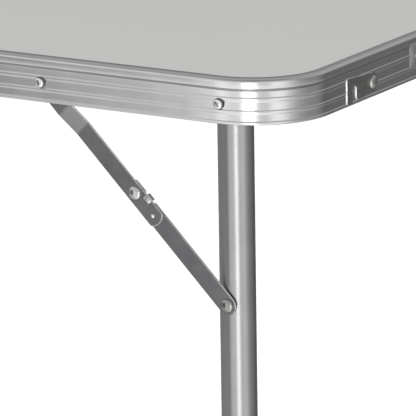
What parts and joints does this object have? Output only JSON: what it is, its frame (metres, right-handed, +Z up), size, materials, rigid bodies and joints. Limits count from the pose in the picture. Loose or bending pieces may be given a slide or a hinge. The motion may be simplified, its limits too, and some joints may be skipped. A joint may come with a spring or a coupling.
{
  "type": "folding picnic table",
  "caption": "Two-leaf folding picnic table with an aluminium rim, light board, telescopic tube legs, folding steel stays, latch hooks and a handle.",
  "frame": {"origin": "middle of the floor area under the table, on the floor", "axes": "+X along the long side towards the end with the handle, +Y across the table, +Z up"},
  "size_m": [1.2185, 0.6046, 0.7],
  "materials": {
    "board": "satin",
    "rim_alu": "satin",
    "tube_alu": "satin",
    "zinc_steel": "satin",
    "fastener": "polished",
    "black_plastic": "matt"
  },
  "bodies": {
    "leaf_a": {"board_a": "board", "rim_a": "rim_alu", "centre_rail_a": "rim_alu", "cross_rib_a": "rim_alu", "pivot_screws_a": "fastener", "stay_screws_a": "fastener", "hinge_plates_a": "zinc_steel", "hinge_pins": "fastener", "hook_rivet_a": "fastener", "latch_stud_a": "fastener", "handle_brackets": "zinc_steel"},
    "leaf_b": {"board_b": "board", "rim_b": "rim_alu", "centre_rail_b": "rim_alu", "cross_rib_b": "rim_alu", "pivot_screws_b": "fastener", "stay_screws_b": "fastener", "hinge_plates_b": "zinc_steel", "hook_rivet_b": "fastener", "latch_stud_b": "fastener"},
    "legs_a": {"cross_tube_a": "tube_alu", "tube_plugs_a": "black_plastic", "leg_tubes_a": "tube_alu", "crossbar_a": "tube_alu", "stay_rivets_a": "fastener"},
    "legs_b": {"cross_tube_b": "tube_alu", "tube_plugs_b": "black_plastic", "leg_tubes_b": "tube_alu", "crossbar_b": "tube_alu", "stay_rivets_b": "fastener"},
    "inner_af": {"inner_tube_af": "tube_alu", "foot_af": "black_plastic"},
    "collar_af": {"collar_af": "black_plastic"},
    "upper_link_af": {"upper_link_af": "zinc_steel"},
    "lower_link_af": {"lower_link_af": "zinc_steel"},
    "inner_ar": {"inner_tube_ar": "tube_alu", "foot_ar": "black_plastic"},
    "collar_ar": {"collar_ar": "black_plastic"},
    "upper_link_ar": {"upper_link_ar": "zinc_steel"},
    "lower_link_ar": {"lower_link_ar": "zinc_steel"},
    "inner_bf": {"inner_tube_bf": "tube_alu", "foot_bf": "black_plastic"},
    "collar_bf": {"collar_bf": "black_plastic"},
    "upper_link_bf": {"upper_link_bf": "zinc_steel"},
    "lower_link_bf": {"lower_link_bf": "zinc_steel"},
    "inner_br": {"inner_tube_br": "tube_alu", "foot_br": "black_plastic"},
    "collar_br": {"collar_br": "black_plastic"},
    "upper_link_br": {"upper_link_br": "zinc_steel"},
    "lower_link_br": {"lower_link_br": "zinc_steel"},
    "hook_a": {"hook_a": "zinc_steel"},
    "hook_b": {"hook_b": "zinc_steel"},
    "handle": {"handle": "black_plastic"}
  },
  "joints": [
    {"name": "top_fold", "type": "hinge", "parent": "leaf_a", "child": "leaf_b", "pos_m": [0, 0, 0.66555], "axis": [0, -1, 0], "range_deg": [0, 70]},
    {"name": "legs_a_fold", "type": "hinge", "parent": "leaf_a", "child": "legs_a", "pos_m": [0.5468, 0, 0.6824], "axis": [0, 1, 0], "range_deg": [0, 90]},
    {"name": "legs_b_fold", "type": "hinge", "parent": "leaf_b", "child": "legs_b", "pos_m": [-0.5468, 0, 0.6824], "axis": [0, -1, 0], "range_deg": [0, 90]},
    {"name": "leg_af_slide", "type": "slide", "parent": "legs_a", "child": "inner_af", "axis": [0, 0, 1], "range_m": [0, 0.155]},
    {"name": "collar_af_turn", "type": "hinge", "parent": "legs_a", "child": "collar_af", "pos_m": [0.5468, -0.2776, 0.188], "axis": [0, 0, 1], "range_deg": [0, 90]},
    {"name": "upper_link_af_turn", "type": "hinge", "parent": "leaf_a", "child": "upper_link_af", "pos_m": [0.4042, -0.295, 0.6824], "axis": [0, -1, 0], "range_deg": [0, 45]},
    {"name": "lower_link_af_turn", "type": "hinge", "parent": "legs_a", "child": "lower_link_af", "pos_m": [0.5468, -0.295, 0.5398], "axis": [0, 1, 0], "range_deg": [0, 45]},
    {"name": "leg_ar_slide", "type": "slide", "parent": "legs_a", "child": "inner_ar", "axis": [0, 0, 1], "range_m": [0, 0.155]},
    {"name": "collar_ar_turn", "type": "hinge", "parent": "legs_a", "child": "collar_ar", "pos_m": [0.5468, 0.2776, 0.188], "axis": [0, 0, 1], "range_deg": [0, 90]},
    {"name": "upper_link_ar_turn", "type": "hinge", "parent": "leaf_a", "child": "upper_link_ar", "pos_m": [0.4042, 0.295, 0.6824], "axis": [0, -1, 0], "range_deg": [0, 45]},
    {"name": "lower_link_ar_turn", "type": "hinge", "parent": "legs_a", "child": "lower_link_ar", "pos_m": [0.5468, 0.295, 0.5398], "axis": [0, 1, 0], "range_deg": [0, 45]},
    {"name": "leg_bf_slide", "type": "slide", "parent": "legs_b", "child": "inner_bf", "axis": [0, 0, 1], "range_m": [0, 0.155]},
    {"name": "collar_bf_turn", "type": "hinge", "parent": "legs_b", "child": "collar_bf", "pos_m": [-0.5468, -0.2776, 0.188], "axis": [0, 0, 1], "range_deg": [0, 90]},
    {"name": "upper_link_bf_turn", "type": "hinge", "parent": "leaf_b", "child": "upper_link_bf", "pos_m": [-0.4042, -0.295, 0.6824], "axis": [0, 1, 0], "range_deg": [0, 45]},
    {"name": "lower_link_bf_turn", "type": "hinge", "parent": "legs_b", "child": "lower_link_bf", "pos_m": [-0.5468, -0.295, 0.5398], "axis": [0, -1, 0], "range_deg": [0, 45]},
    {"name": "leg_br_slide", "type": "slide", "parent": "legs_b", "child": "inner_br", "axis": [0, 0, 1], "range_m": [0, 0.155]},
    {"name": "collar_br_turn", "type": "hinge", "parent": "legs_b", "child": "collar_br", "pos_m": [-0.5468, 0.2776, 0.188], "axis": [0, 0, 1], "range_deg": [0, 90]},
    {"name": "upper_link_br_turn", "type": "hinge", "parent": "leaf_b", "child": "upper_link_br", "pos_m": [-0.4042, 0.295, 0.6824], "axis": [0, 1, 0], "range_deg": [0, 45]},
    {"name": "lower_link_br_turn", "type": "hinge", "parent": "legs_b", "child": "lower_link_br", "pos_m": [-0.5468, 0.295, 0.5398], "axis": [0, -1, 0], "range_deg": [0, 45]},
    {"name": "hook_a_turn", "type": "hinge", "parent": "leaf_a", "child": "hook_a", "pos_m": [0.6012, -0.1846, 0.6798], "axis": [1, 0, 0], "range_deg": [0, 90]},
    {"name": "hook_b_turn", "type": "hinge", "parent": "leaf_b", "child": "hook_b", "pos_m": [-0.6012, 0.1846, 0.6798], "axis": [-1, 0, 0], "range_deg": [0, 90]},
    {"name": "handle_swing", "type": "hinge", "parent": "leaf_a", "child": "handle", "pos_m": [0.607, 0, 0.686], "axis": [0, -1, 0], "range_deg": [0, 90]}
  ],
  "couplings": [
    {"joint": "leg_af_slide", "follows": "legs_a_fold", "m_per_rad": 0.0986},
    {"joint": "upper_link_af_turn", "follows": "legs_a_fold", "ratio": 0.5},
    {"joint": "lower_link_af_turn", "follows": "legs_a_fold", "ratio": 0.5},
    {"joint": "leg_ar_slide", "follows": "legs_a_fold", "m_per_rad": 0.0986},
    {"joint": "upper_link_ar_turn", "follows": "legs_a_fold", "ratio": 0.5},
    {"joint": "lower_link_ar_turn", "follows": "legs_a_fold", "ratio": 0.5},
    {"joint": "leg_bf_slide", "follows": "legs_b_fold", "m_per_rad": 0.0986},
    {"joint": "upper_link_bf_turn", "follows": "legs_b_fold", "ratio": 0.5},
    {"joint": "lower_link_bf_turn", "follows": "legs_b_fold", "ratio": 0.5},
    {"joint": "leg_br_slide", "follows": "legs_b_fold", "m_per_rad": 0.0986},
    {"joint": "upper_link_br_turn", "follows": "legs_b_fold", "ratio": 0.5},
    {"joint": "lower_link_br_turn", "follows": "legs_b_fold", "ratio": 0.5}
  ]
}
